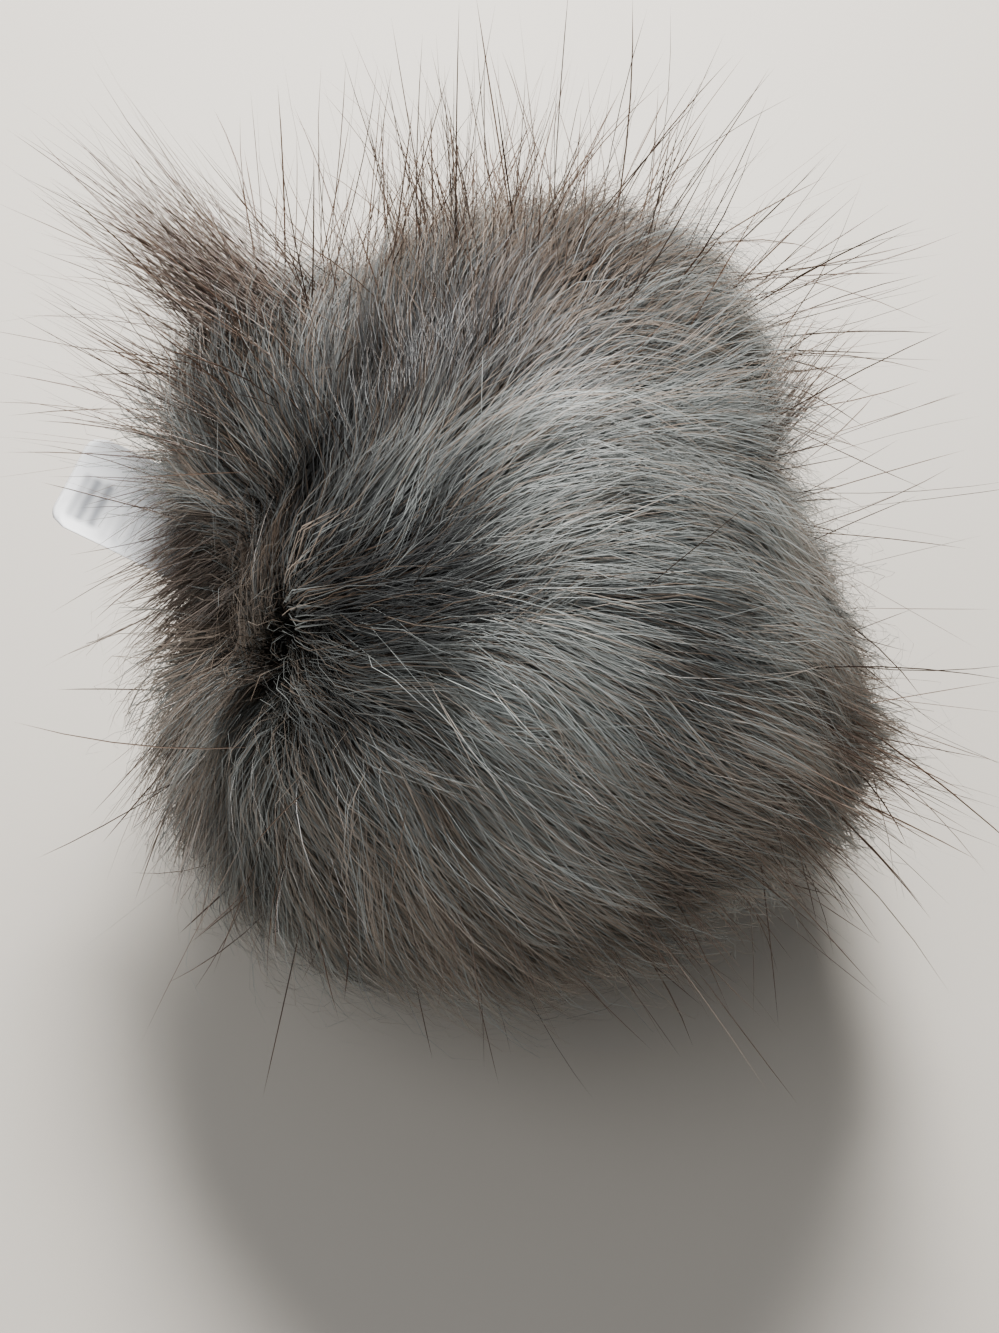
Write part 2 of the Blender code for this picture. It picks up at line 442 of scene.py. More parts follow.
# Where the pile has been stroked: the place on the ball, how far round it this reaches, the way in which the
# hair lies there (azimuth and elevation, all in degrees) and how much it stands up.
STROKES = table(
    "name azimuth elevation spread towards_azimuth towards_elevation standing",
    ("left rim, upper", 176, 26, 9, 135, -24, 1.0),
    ("over the gather", 192, 24, 8, 324, 43, 0.7),
    ("right of the gather", 222, 49, 12, 350, 23, 0.8),
    ("right of the hollow", 220, 35, 8, 330, 40, 0.8),
    ("inner crown, near", 177, 45, 9, 81, 29, 0.9),
    ("inner crown", 201, 58, 10, 38, 30, 0.9),
    ("inner crown, far", 187, 69, 10, 59, 14, 0.9),
    ("crown towards the back", 196, 63, 12, 33, 25, 1.0),
    ("silver band, near end", 224, 72, 13, 35, 10, 0.9),
    ("silver band, middle", 295, 88, 13, 13, -6, 0.8),
    ("silver band, far end", 358, 76, 13, 358, -22, 0.8),
    ("crown", 251, 66, 13, 20, 7, 0.8),
    ("right of the crown", 292, 67, 13, 14, -13, 0.8),
    ("middle", 262, 56, 13, 355, -6, 0.8),
    ("right of the middle", 296, 55, 14, 358, -28, 0.8),
    ("below the middle", 261, 46, 13, 334, -20, 0.8),
    ("lower right", 283, 39, 14, 346, -37, 0.9),
    ("front right corner", 308, 35, 15, 3, -47, 1.0),
    ("front right, low", 273, 28, 12, 343, -38, 1.0),
    ("front, inner", 235, 40, 12, 328, 5, 0.8),
    ("front, inner, lower", 230, 31, 10, 325, 17, 0.85),
    ("front, low", 256, 27, 13, 330, -24, 1.0),
    ("front", 237, 24, 11, 318, -4, 0.9),
    ("front, left", 225, 18, 9, 303, -4, 0.95),
    ("front, lower", 245, 17, 12, 312, -30, 0.95),
    ("hanging on the left", 205, 8, 11, 266, -38, 1.1),
    ("left", 178, 14, 11, 185, -60, 1.1),
    ("back left corner", 170, 35, 15, 99, 8, 1.15),
    ("back valley", 180, 61, 14, 88, -6, 1.0),
    ("back", 127, 65, 20, 83, -21, 1.25),
    ("back, right", 78, 72, 15, 73, -21, 1.15),
    ("back right corner", 51, 60, 18, 61, -30, 1.15),
    ("right waist, upper", 30, 36, 16, 60, -30, 0.6),
    ("right waist", 8, 30, 18, 300, -55, 0.6),
    ("right", 342, 53, 13, 308, -36, 0.8),
    ("right, low", 345, 15, 18, 300, -50, 0.7),
)

UNSTROKED = 0.25  # weight of the nap's own way, which is away from its source and down
NAP_SOURCE = pointing(210.0, 26.0)  # beside the gather
DOWN = np.array((0.0, 0.0, -1.0))
HANGING = 0.7  # how much the nap's own way turns down, a quarter of the way round from its source
SWIRL = 13.0  # unevenness of the nap, in degrees


def nap(ways, outward):
    """The way in which the pile lies at each place and how much it stands up, as a column."""
    beyond = 1.0 - ways @ NAP_SOURCE
    lies = unit(ways * (ways @ NAP_SOURCE)[:, None] - NAP_SOURCE)
    lies = UNSTROKED * (lies + HANGING * beyond[:, None] * DOWN)
    standing = np.full((len(ways), 1), UNSTROKED)
    weights = np.full((len(ways), 1), UNSTROKED)
    for stroke in STROKES:
        weight = bell(degrees_from(stroke.azimuth, stroke.elevation, ways), stroke.spread)[:, None]
        lies += weight * pointing(stroke.towards_azimuth, stroke.towards_elevation)
        standing += weight * stroke.standing
        weights += weight
    swirled = np.radians(SWIRL) * uneven(ways, 1.0, 11)[:, None]
    return turned(square_to(lies, outward), outward, swirled), standing / weights


MOST_UPRIGHT = 0.92  # largest share of a hair's length that goes into its rise
RISING_EARLY = 1.9  # how soon a hair has risen
LYING_LATE = 1.25  # how late it lies over
OVER_CLOTH = 0.6  # share of a hair's height at which its way ahead is measured


def combed(cloth, ways, length, rise, points, stray, curl):
    """Paths that leave the cloth steeply and then lie over along the nap, following the ball's roundness.

    stray and curl, in radians, turn each hair out of the nap: all along, and more and more to its tip.
    """
    along = np.linspace(0.0, 1.0, points)
    paths = np.empty((len(ways), points, 3))
    radius, outward = cloth.at(ways)
    flow, standing = nap(ways, outward)
    rise = np.minimum(rise[:, None] * standing, MOST_UPRIGHT * length[:, None])
    reach = np.sqrt(length[:, None] ** 2 - rise**2)
    first_flow, first_outward = flow, outward
    for index, share in enumerate(along):
        height = rise * (1 - (1 - share) ** RISING_EARLY)
        paths[:, index] = CENTRE + radius * ways + height * outward
        if index < points - 1:
            lies = turned(flow, outward, stray[:, None] + curl[:, None] * share)
            ahead = reach * (along[index + 1] ** LYING_LATE - share**LYING_LATE)
            ways = unit(ways + lies * ahead / (radius + OVER_CLOTH * height))
            radius, outward = cloth.at(ways)
            flow, _ = nap(ways, outward)
    return paths, first_outward, first_flow


def drawn_into_locks(paths, locks, draw, pull, tightness=1.6):
    """Draws the hairs of each lock together towards their tips."""
    sums = np.zeros((locks.max() + 1, *paths.shape[1:]))
    np.add.at(sums, locks, paths)
    middles = sums / np.maximum(np.bincount(locks, minlength=len(sums)), 1)[:, None, None]
    share = pull * np.linspace(0.0, 1.0, paths.shape[1]) ** tightness
    share = share[None, :, None] * draw.uniform(0.5, 1.0, (len(paths), 1, 1))
    return paths * (1 - share) + middles[locks] * share


def above_floor(paths, lowest=0.0006, softness=0.0022):
    """Lifts what would go below the surface that the ball rests on, and spreads it outwards instead."""
    lift = softness * np.logaddexp(0.0, (lowest - paths[..., 2]) / softness)
    outwards = paths - CENTRE
    outwards[..., 2] = 0.0
    moved = paths + 0.5 * lift[..., None] * unit(outwards)
    moved[..., 2] = paths[..., 2] + lift
    return moved


def within_box(paths):
    """Shortens each hair that would reach further out of the solid's box than fabric may."""
    low, high = np.array(SOLID_BOX)
    spare = BOX_KEPT * (BOX_SHARE * (high - low) + BOX_SPARE)
    root = paths[:, :1]
    reach = paths - root
    room = np.where(reach > 0, high + spare - root, low - spare - root)
    moves = np.abs(reach) > 1e-6
    share = np.where(moves, room / np.where(moves, reach, 1.0), 9.0)
    return root + reach * np.minimum(share.min((1, 2)), 1.0)[:, None, None]


def tapered(points, widths, fullness):
    """Hair widths from root to tip: full for most of the way and fine at the tip."""
    along = np.linspace(0.0, 1.0, points)
    return widths[:, None] * (0.75 + 0.25 * along) * (1.0 - along**fullness * 0.85)


def twisted(outward, flow, draw, most):
    """A flat side for each hair: outward, turned up to this many degrees either way."""
    angle = np.radians(draw.uniform(-most, most, (len(outward), 1)))
    side = np.cross(outward, flow)
    return np.cos(angle) * outward + np.sin(angle) * side


# Coat: a short matted undercoat, the long silky pile over it, and wisps.


class UndercoatSettings(PropertyGroup):
    hairs: IntProperty(name="Hairs", description="Hairs in the undercoat", default=62000, min=100)
    length: length_property("Length", "Usual length", 0.024)
    rise: length_property("Rise", "Height of the tips", 0.0095)
    width: length_property("Width", "Usual width", 0.00030)


class PileSettings(PropertyGroup):
    hairs: IntProperty(name="Hairs", description="Hairs in the long coat", default=55000, min=100)
    length: length_property("Length", "Usual length", 0.032)
    rise: length_property("Rise", "Height of the tips", 0.0120)
    width: length_property("Width", "Usual width", 0.00018)


class WispSettings(PropertyGroup):
    hairs: IntProperty(name="Hairs", description="Fine hairs that blur the outline", default=6500, min=100)
    length: length_property("Length", "Usual length", 0.037)
    rise: length_property("Rise", "Height of the tips", 0.0165)
    width: length_property("Width", "Usual width", 0.00013)


CRIMP = 0.0004  # how far hairs waver from side to side, in metres
LOCKS = 900
SMALL_LOCK = 6  # hairs
LOCK_PULL = 0.34  # how far the hairs of a lock come together at their tips
SMALL_LOCK_PULL = 0.40
SHORT_PILE = (202.0, 26.0)  # where the pile is shorter and strays more, beside the gather
SHORT_PILE_SPREAD = 15.0  # degrees
USUAL_TONE = 0.43
TAUPE_SHARE = 0.12  # of the hairs, to which the table of taupes adds

# Darker and paler places in the pile: azimuth, elevation and spread in degrees, and the change of tone.
# Most rows are painted shade where less light reaches the pile: the gather's hollows, which also hold the
# hair's own darker roots, the valleys, the parting, the crown and the back. The silver band and the place
# below the middle are a painted highlight, and the rows that lighten the front, the right side and its edge,
# and the left rim are painted light from the floor and the lamps. The pale left lock is paler hair.
TONES_AND_PAINTED_LIGHT = table(
    "name azimuth elevation spread change",
    ("upper hollow of the gather", 186, 37, 9, -0.26),
    ("lower hollow of the gather", 211, 27, 8, -0.28),
    ("below the ridge", 228, 44, 10, -0.12),
    ("dark valley, near end", 223, 53, 10, -0.22),
    ("dark valley, far end", 250, 60, 11, -0.28),
    ("parting", 268, 60, 4, -0.20),
    ("inner crown", 180, 52, 16, -0.18),
    ("back left corner", 148, 46, 18, -0.19),
    ("left rim", 164, 38, 6, 0.08),
    ("back valley", 128, 66, 16, -0.28),
    ("back", 90, 30, 28, -0.24),
    ("back right", 70, 60, 18, -0.18),
    ("behind the silver band", 38, 76, 7, -0.12),
    ("silver band", 290, 88, 9, 0.10),
    ("middle of the crown", 233, 75, 8, -0.16),
    ("inner crown, right", 223, 64, 7, -0.16),
    ("ridge over the valley", 217, 50, 6, -0.16),
    ("front, inner", 236, 32, 8, -0.18),
    ("front, middle", 254, 34, 6, -0.12),
    ("right of the middle", 310, 43, 10, -0.20),
    ("back of the crown", 69, 53, 9, -0.08),
    ("left of the crown", 142, 68, 9, -0.14),
    ("top of the back", 104, 63, 9, -0.14),
    ("upper left", 190, 60, 14, -0.06),
    ("below the middle", 277, 47, 13, 0.20),
    ("front, low", 276, 22, 13, 0.15),
    ("front right corner", 316, 16, 12, 0.20),
    ("front right, inner", 287, 31, 7, 0.09),
    ("pale right edge", 327, 28, 8, 0.12),
    ("pale left lock", 211, 6, 6, 0.14),
    ("right side", 350, 25, 15, 0.10),
)

# Where more of the hairs are taupe: azimuth, elevation and spread in degrees, and the share that this adds.
# Near the gather this is the hair's own taupe; at the back, the sides and the front it is also painted warm
# light from the floor, seen through and bounced into the outline.
TAUPES = table(
    "name azimuth elevation spread change",
    ("gather", 197, 28, 20, 0.45),
    ("left", 190, 2, 28, 0.55),
    ("back", 95, 15, 36, 0.60),
    ("back of the crown", 75, 58, 20, 0.40),
    ("right", 350, 0, 30, 0.55),
    ("front", 275, -8, 32, 0.55),
    ("front right", 305, 15, 20, 0.30),
    ("front, lower", 250, 14, 18, 0.30),
)


def shaded(ways, shades):
    """The sum of the rows' changes at each place."""
    total = 0.0
    for shade in shades:
        total += shade.change * bell(degrees_from(shade.azimuth, shade.elevation, ways), shade.spread)
    return total


def coat_finish():
    """Taupe hairs in the map's left half and cool grey ones in its right half, each from dark to pale."""
    tones = [
        (0.000, (0.042, 0.029, 0.021)),
        (0.100, (0.125, 0.097, 0.076)),
        (0.225, (0.320, 0.272, 0.230)),
        (0.495, (0.620, 0.570, 0.520)),
        (0.505, (0.030, 0.030, 0.031)),
        (0.600, (0.097, 0.101, 0.100)),
        (0.725, (0.288, 0.303, 0.294)),
        (1.000, (0.690, 0.735, 0.715)),
    ]
    # Along each hair: darker at the root, the hair's own darker roots together with painted shade deep in
    # the pile, and browner at the tip.
    lengthwise = [
        (0.00, (0.40, 0.37, 0.34)),
        (0.35, (0.92, 0.92, 0.92)),
        (0.80, (1.00, 1.00, 1.00)),
        (1.00, (0.82, 0.70, 0.59)),
    ]
    return hair_finish("silky grey coat", tones, lengthwise, 0.36, 0.28)


def nearest_of(ways, count, draw):
    """Which of some evenly scattered ways is nearest to each way."""
    leaders = ways[draw.choice(len(ways), count, replace=False)]
    tree = KDTree(count)
    for index, leader in enumerate(leaders):
        tree.insert(Vector(leader), index)
    tree.balance()
    return np.array([tree.find(Vector(way))[1] for way in ways])


def coat_paths(cloth, ways, lock, settings, points, looseness, draw):
    """The paths of a layer's hairs, which are loose, and outward and along the nap at their roots."""
    count = len(ways)
    by_lock = np.random.default_rng(18).normal(size=(4, LOCKS))[:, lock]
    near_gather = bell(degrees_from(*SHORT_PILE, ways), SHORT_PILE_SPREAD)
    length = settings.length * draw.uniform(0.72, 1.12, count) * (1 + 0.08 * by_lock[0])
    length *= 1 - 0.35 * near_gather
    rise = settings.rise * draw.uniform(0.55, 1.15, count) * (1 + 0.14 * uneven(ways, 0.4, 13))
    by_height = 0.70 + 0.30 * smooth_step(-0.6, 0.25, ways[:, 2])
    rise *= np.clip(1 + 0.17 * by_lock[1], 0.6, 1.5) * by_height
    loose = draw.random(count) < looseness
    rise *= np.where(loose, draw.uniform(1.1, 1.9, count), 1.0)
    stray = np.radians(draw.normal(0.0, 4.0 + 9.0 * near_gather + 13.0 * loose) + 11.0 * by_lock[2])
    curl = np.radians(draw.normal(0.0, 11.0, count) + 9.0 * by_lock[3])
    paths, outward, flow = combed(cloth, ways, length, rise, points, stray, curl)
    side = np.cross(outward, flow)[:, None]
    paths[:, 1:] += CRIMP * draw.normal(size=(count, points - 1, 1)) * side
    paths = drawn_into_locks(paths, lock, draw, LOCK_PULL)
    small_locks = nearest_of(ways, count // SMALL_LOCK, draw)
    paths = drawn_into_locks(paths, small_locks, draw, SMALL_LOCK_PULL)
    return within_box(above_floor(paths)), loose, outward, flow


def coat_tones(ways, tips, lock, variety, draw):
    """Each hair's place across the map, taupe in its left half and cool grey in its right half."""
    tones = USUAL_TONE + 0.05 * uneven(ways, 0.22, 14) + draw.normal(0.0, variety, len(ways))
    tones += 0.055 * np.random.default_rng(19).normal(size=LOCKS)[lock]
    # The tones table adds painted shade, painted highlight and paler locks at each hair's tip.
    tones = np.clip(tones + shaded(tips, TONES_AND_PAINTED_LIGHT), 0.03, 0.97)
    # The taupe share adds the hair's own taupe and, at the outline, painted warm light from the floor.
    taupe = draw.random(len(ways)) < TAUPE_SHARE + shaded(tips, TAUPES)
    return np.where(taupe, tones / 2, 0.5 + tones / 2)


def grow_coat(context, settings, pieces, seed, points, looseness, variety, softness):
    """Grows a layer of the coat as some pieces, each a part of the way round the ball.

    looseness: share of hairs that stand out of the coat; variety: how much tones differ from hair to hair;
    softness: how far the shading is evened out.
    """
    draw = np.random.default_rng(seed)
    cloth = Cloth(context.scene.pompom_backing)
    ways = cloth.scattered(settings.hairs, draw)
    lock = nearest_of(ways, LOCKS, np.random.default_rng(17))
    paths, loose, outward, flow = coat_paths(cloth, ways, lock, settings, points, looseness, draw)
    tones = coat_tones(ways, unit(paths[:, -2] - CENTRE), lock, variety, draw)
    facing = twisted(outward, flow, draw, 35.0)
    width = settings.width * draw.uniform(0.7, 1.25, len(ways)) * np.where(loose, 0.7, 1.0)
    widths = tapered(points, width, 3.0)
    finish = coat_finish()
    round_about = np.argsort(np.arctan2(ways[:, 1], ways[:, 0]))
    for name, part in zip(pieces, np.array_split(round_about, len(pieces))):
        made = hair_object(name, paths[part], facing[part], widths[part], tones[part], finish, softness)
        finished(made, "fur")


class POMPOM_OT_undercoat(Operator):
    """Grows the short matted undercoat in two halves"""

    bl_idname = "pompom.undercoat"
    bl_label = "Undercoat"

    def execute(self, context):
        layer = {"seed": 2, "points": 4, "looseness": 0.0, "variety": 0.03, "softness": 0.55}
        grow_coat(context, context.scene.pompom_undercoat, ("undercoat_front", "undercoat_back"), **layer)
        return {"FINISHED"}


class POMPOM_OT_pile(Operator):
    """Grows the long silky pile, as one piece for each quarter of the ball"""

    bl_idname = "pompom.pile"
    bl_label = "Pile"

    def execute(self, context):
        pieces = ("pile_front_left", "pile_front_right", "pile_back_right", "pile_back_left")
        layer = {"seed": 3, "points": 6, "looseness": 0.20, "variety": 0.04, "softness": 0.45}
        grow_coat(context, context.scene.pompom_pile, pieces, **layer)
        return {"FINISHED"}


class POMPOM_OT_wisps(Operator):
    """Grows the fine loose hairs that blur the coat's outline"""

    bl_idname = "pompom.wisps"
    bl_label = "Wisps"

    def execute(self, context):
        layer = {"seed": 4, "points": 6, "looseness": 0.15, "variety": 0.08, "softness": 0.3}
        grow_coat(context, context.scene.pompom_wisps, ("wisps",), **layer)
        return {"FINISHED"}


# Guard hairs, pale hairs that are painted glints, and tufts: longer or straighter than the coat, and sparse.


class GuardSettings(PropertyGroup):
    hairs: IntProperty(name="Hairs", description="Guard hairs all over", default=80, min=10)
    length: length_property("Length", "Usual length", 0.042)
    width: length_property("Width", "Usual width", 0.00028)


class PaintedGlintSettings(PropertyGroup):
    hairs: IntProperty(name="Hairs", description="Pale hairs that lie on the pile", default=1400, min=10)
    length: length_property("Length", "Usual length", 0.023)
    rise: length_property("Rise", "Height of the tips", 0.0125)
    width: length_property("Width", "Usual width", 0.00013)


class TuftSettings(PropertyGroup):
    width: length_property("Width", "Usual width", 0.00024)


GUARD_POINTS = 7
GUARD_SOFTNESS = 0.1  # how far the shading of these hairs is evened out
SAG = 0.04  # how far these hairs bend down at the tip, as a share of their length
DEEPEST_SHADE_FOR_GLINTS = -0.10  # painted glint hairs are left out where painted shade darkens the coat more than this

# Where more guard hairs stand: azimuth, elevation and spread in degrees, and how many.
STANDS = table(
    "name azimuth elevation spread hairs",
    ("back left corner", 145, 32, 15, 170),
    ("left", 163, 30, 11, 60),
    ("back", 100, 38, 22, 400),
    ("back right corner", 60, 40, 16, 140),
    ("right waist", 14, 34, 15, 40),
    ("right", 340, 8, 18, 20),
    ("front right corner", 318, 8, 14, 70),
    ("front", 265, -8, 20, 15),
    ("front left", 222, -5, 18, 25),
)

# Tufts: the root's azimuth, elevation and spread, where it points, its length in metres, how far its hairs
# come together at the tip, how many there are, and their tone from 0, brown, to 1, pale.
TUFTS = table(
    "name azimuth elevation spread to_azimuth to_elevation length gathered hairs tone",
    ("pointed tuft", 145, 43, 9.0, 140, 10, 0.052, 0.62, 620, 0.20),
    ("pointed tuft's tip", 143, 42, 4.0, 139, 9, 0.066, 0.65, 70, 0.0),
    ("fan on the left", 163, 31, 8.0, 158, 24, 0.042, 0.25, 90, 0.12),
    ("lock at the waist", 12, 42, 6.0, 48, 22, 0.029, 0.50, 120, 0.34),
    ("wisps at the back", 112, 45, 9.0, 100, 48, 0.042, 0.20, 60, 0.15),
    ("lock over the label", 173, 31, 7.0, 196, -30, 0.034, 0.0, 420, 0.42),
    ("lock beside the label", 180, 26, 6.0, 205, -36, 0.030, 0.0, 320, 0.46),
    ("pale lock on the left", 203, 12, 4.0, 251, -30, 0.036, 0.15, 260, 0.60),
    ("hanging lock on the left", 193, 9, 5.0, 236, -40, 0.036, 0.15, 220, 0.26),
    ("brown strands in front", 246, 31, 6.0, 288, -24, 0.034, 0.10, 110, 0.32),
    ("fan at the front right corner", 317, 26, 12.0, 338, -20, 0.040, 0.0, 90, 0.26),
    ("fan beside it", 301, 25, 11.0, 329, -28, 0.038, 0.1, 70, 0.26),
    ("fan in front", 279, 22, 11.0, 320, -27, 0.036, 0.1, 70, 0.26),
)


def guard_finish():
    tones = [(0.0, (0.066, 0.034, 0.018)), (0.5, (0.260, 0.220, 0.190)), (1.0, (0.840, 0.840, 0.830))]
    lengthwise = [(0.0, (0.70, 0.72, 0.74)), (0.5, (1.0, 1.0, 1.0)), (1.0, (1.0, 0.92, 0.86))]
    return hair_finish("guard hair", tones, lengthwise, 0.28)


def around(place, draw):
    """Ways scattered around the place of a stand or a tuft, one for each of its hairs."""
    middle = pointing(place.azimuth, place.elevation)
    return unit(middle + math.radians(place.spread) * draw.normal(0.0, 0.7, (place.hairs, 3)))


def bowed(starts, directions, length, bow, draw):
    """Nearly straight paths, each bent a little to one side and towards the floor."""
    along = np.linspace(0.0, 1.0, GUARD_POINTS)[None, :, None]
    side = square_to(draw.normal(size=starts.shape), directions)
    bend = side * draw.normal(0.0, bow, (len(starts), 1)) + SAG * DOWN
    return starts[:, None] + length[:, None, None] * (along * directions[:, None] + along**2 * bend[:, None])


def sparse_piece(name, paths, facing, widths, tones):
    """A piece of guard hairs, painted glint hairs or tufts."""
    paths = within_box(above_floor(paths))
    finished(hair_object(name, paths, facing, widths, tones, guard_finish(), GUARD_SOFTNESS), "fur")


class POMPOM_OT_guard_hairs(Operator):
    """Grows the long sparse guard hairs that stand out of the pile"""

    bl_idname = "pompom.guard_hairs"
    bl_label = "Guard hairs"

    def execute(self, context):
        settings = context.scene.pompom_guard_hairs
        draw = np.random.default_rng(5)
        cloth = Cloth(context.scene.pompom_backing)
        groups = [cloth.scattered(settings.hairs, draw), *(around(stand, draw) for stand in STANDS)]
        ways = np.concatenate(groups)
        count = len(ways)
        radius, outward = cloth.at(ways)
        flow, _ = nap(ways, outward)
        lean = turned(flow, outward, np.radians(draw.normal(0.0, 25.0, (count, 1))))
        steepness = np.radians(draw.uniform(25.0, 75.0, (count, 1)))
        directions = np.cos(steepness) * lean + np.sin(steepness) * outward
        directions = unit(directions + draw.normal(0.0, 0.22, ways.shape))
        length = settings.length * draw.uniform(0.5, 1.2, count)
        length *= 0.5 + 0.5 * smooth_step(-0.5, 0.35, ways[:, 2])
        paths = bowed(CENTRE + radius * ways, directions, length, 0.20, draw)
        tones = draw.uniform(0.0, 0.22, count)
        widths = tapered(GUARD_POINTS, settings.width * draw.uniform(0.5, 1.15, count), 5.0)
        sparse_piece("guard_hairs", paths, twisted(outward, flow, draw, 90.0), widths, tones)
        return {"FINISHED"}


class POMPOM_OT_painted_glints(Operator):
    """Grows the few pale hairs that lie on the pile as painted glints"""

    bl_idname = "pompom.glossy_hairs"
    bl_label = "Painted glints"

    def execute(self, context):
        settings = context.scene.pompom_glossy_hairs
        draw = np.random.default_rng(6)
        cloth = Cloth(context.scene.pompom_backing)
        ways = cloth.scattered(settings.hairs, draw)
        # Keeps the painted glints out of the painted shade.
        ways = ways[shaded(ways, TONES_AND_PAINTED_LIGHT) > DEEPEST_SHADE_FOR_GLINTS]
        count = len(ways)
        stray = np.radians(draw.normal(0.0, 8.0, count))
        curl = np.radians(draw.normal(0.0, 8.0, count))
        length = settings.length * draw.uniform(0.7, 1.15, count)
        rise = settings.rise * draw.uniform(0.85, 1.2, count)
        paths, outward, flow = combed(cloth, ways, length, rise, GUARD_POINTS, stray, curl)
        widths = tapered(GUARD_POINTS, settings.width * draw.uniform(0.7, 1.2, count), 2.0)
        tones = draw.uniform(0.55, 1.0, count)
        sparse_piece("painted_glints", paths, twisted(outward, flow, draw, 60.0), widths, tones)
        return {"FINISHED"}


def tuft_hairs(tuft, cloth, hair_width, draw):
    """The paths, flat sides, widths and tones of a tuft's hairs."""
    ways = around(tuft, draw)
    radius, outward = cloth.at(ways)
    starts = CENTRE + radius * ways
    aim = pointing(tuft.to_azimuth, tuft.to_elevation)
    length = tuft.length * draw.uniform(0.6, 1.05, tuft.hairs)
    from_middle = starts - starts.mean(0)
    across = from_middle - from_middle @ aim[:, None] * aim
    directions = aim - tuft.gathered * across / tuft.length + draw.normal(0.0, 0.11, starts.shape)
    paths = bowed(starts, directions, length, 0.11, draw)
    widths = tapered(GUARD_POINTS, hair_width * draw.uniform(0.6, 1.2, tuft.hairs), 4.0)
    tones = np.clip(tuft.tone + draw.normal(0.0, 0.08, tuft.hairs), 0.0, 1.0)
    facing = twisted(outward, square_to(directions, outward), draw, 90.0)
    return paths, facing, widths, tones


class POMPOM_OT_tufts(Operator):
    """Grows the tufts and locks that stand out of the ball's outline"""

    bl_idname = "pompom.tufts"
    bl_label = "Tufts"

    def execute(self, context):
        draw = np.random.default_rng(7)
        cloth = Cloth(context.scene.pompom_backing)
        width = context.scene.pompom_tufts.width
        parts = zip(*(tuft_hairs(tuft, cloth, width, draw) for tuft in TUFTS))
        sparse_piece("tufts", *(np.concatenate(part) for part in parts))
        return {"FINISHED"}


# Label: a satin ribbon folded once.


class LabelSettings(PropertyGroup):
    width: length_property("Width", "Width of the ribbon", 0.0168)
    hidden: length_property("Sewn in", "Length in the pile", 0.009)
    fold: length_property("Fold", "Radius of the fold", 0.0005)
    colour: FloatVectorProperty(
        name="Colour", description="Colour of the satin", default=(0.95, 0.96, 0.97), subtype="COLOR", size=3
    )


LABEL_OUT = pointing(158.0, 16.0)
LABEL_ACROSS = square_to(np.array((-0.46, -0.84, -0.29)), LABEL_OUT)
LABEL_FACE = np.cross(LABEL_ACROSS, LABEL_OUT)

# Lengths in metres.
LABEL_VISIBLE = 0.019
LABEL_CORNER = 0.003
LABEL_CURL = 0.0025  # how far its outer end bends up
LABEL_CUP = 0.0015  # how far its edges bend down
LABEL_TIP = 0.002  # the end of the solid that gives the outer end's level

LABEL_STEPS = 56  # along the ribbon
LABEL_SIDES = 22  # across it


def within(finish, value, low, high, softness):
    """1 where a value lies between low and high, with soft edges."""
    rising = finish.add("ShaderNodeMapRange", {}, {0: value, 1: low - softness, 2: low + softness})
    falling = finish.add("ShaderNodeMapRange", {}, {0: value, 1: high - softness, 2: high + softness})
    return rising * (1.0 - falling)


def label_finish(colour):
    """White satin: fine warp threads, and a block of soft grey bars where the text would be."""
    finish = Finish("white satin", Roughness=0.38, Sheen_Weight=0.2)
    place, across, up = finish.on_map()
    lines = {"Vector": place, "Scale": 8.0, "Distortion": 0.6}
    bars = finish.add("ShaderNodeTexWave", {"bands_direction": "Y"}, lines)
    inside = within(finish, across, 0.40, 0.86, 0.03) * within(finish, up, 0.350, 0.450, 0.012)
    wide = within(finish, across, 0.30, 0.92, 0.05) * within(finish, up, 0.225, 0.340, 0.020)
    ink = inside * (bars * 0.45 + 0.55) + wide * (bars * 0.20 + 0.15)
    finish.feed("Base Color", finish.mix(ink, (*colour, 1.0), (0.30, 0.31, 0.33, 1.0)))
    threads = finish.add("ShaderNodeTexWave", {"bands_direction": "X"}, {"Vector": place, "Scale": 30.0})
    bump = finish.add("ShaderNodeBump", {}, {"Strength": 0.12, "Distance": 0.0001, "Height": threads})
    finish.feed("Normal", bump)
    return finish.material


def folded_line(straight, fold):
    """The folded ribbon seen from its side: out along the lower ply, round the fold and back."""
    line = []
    total = 2 * straight + math.pi * fold
    for step in range(LABEL_STEPS + 1):
        gone = total * step / LABEL_STEPS
        if gone < straight:
            line.append((gone, -fold))
        elif gone < straight + math.pi * fold:
            angle = (gone - straight) / fold
            line.append((straight + fold * math.sin(angle), -fold * math.cos(angle)))
        else:
            line.append((total - gone, fold))
    return np.array(line)


def ribbon_corners(settings, tip, middle, level):
    """The folded ribbon's corners, one lengthwise line after another, rounded at the fold's ends."""
    straight = LABEL_VISIBLE + settings.hidden - settings.fold
    line = folded_line(straight, settings.fold)
    corners = []
    for side in range(LABEL_SIDES + 1):
        offset = (side / LABEL_SIDES - 0.5) * settings.width
        into_corner = max(0.0, abs(offset) - settings.width / 2 + LABEL_CORNER)
        pulled = LABEL_CORNER - math.sqrt(LABEL_CORNER**2 - into_corner**2)
        out = line[:, 0] * (1 - pulled / straight)
        curl = LABEL_CURL * ((out - settings.hidden) / LABEL_VISIBLE) ** 2 * (out > settings.hidden)
        curl -= LABEL_CUP * (2 * offset / settings.width) ** 2
        raised = line[:, 1] + curl - LABEL_CURL + level
        place = (tip - straight + out)[:, None] * LABEL_OUT + (middle + offset) * LABEL_ACROSS
        corners.append(place + raised[:, None] * LABEL_FACE)
    return np.concatenate(corners)


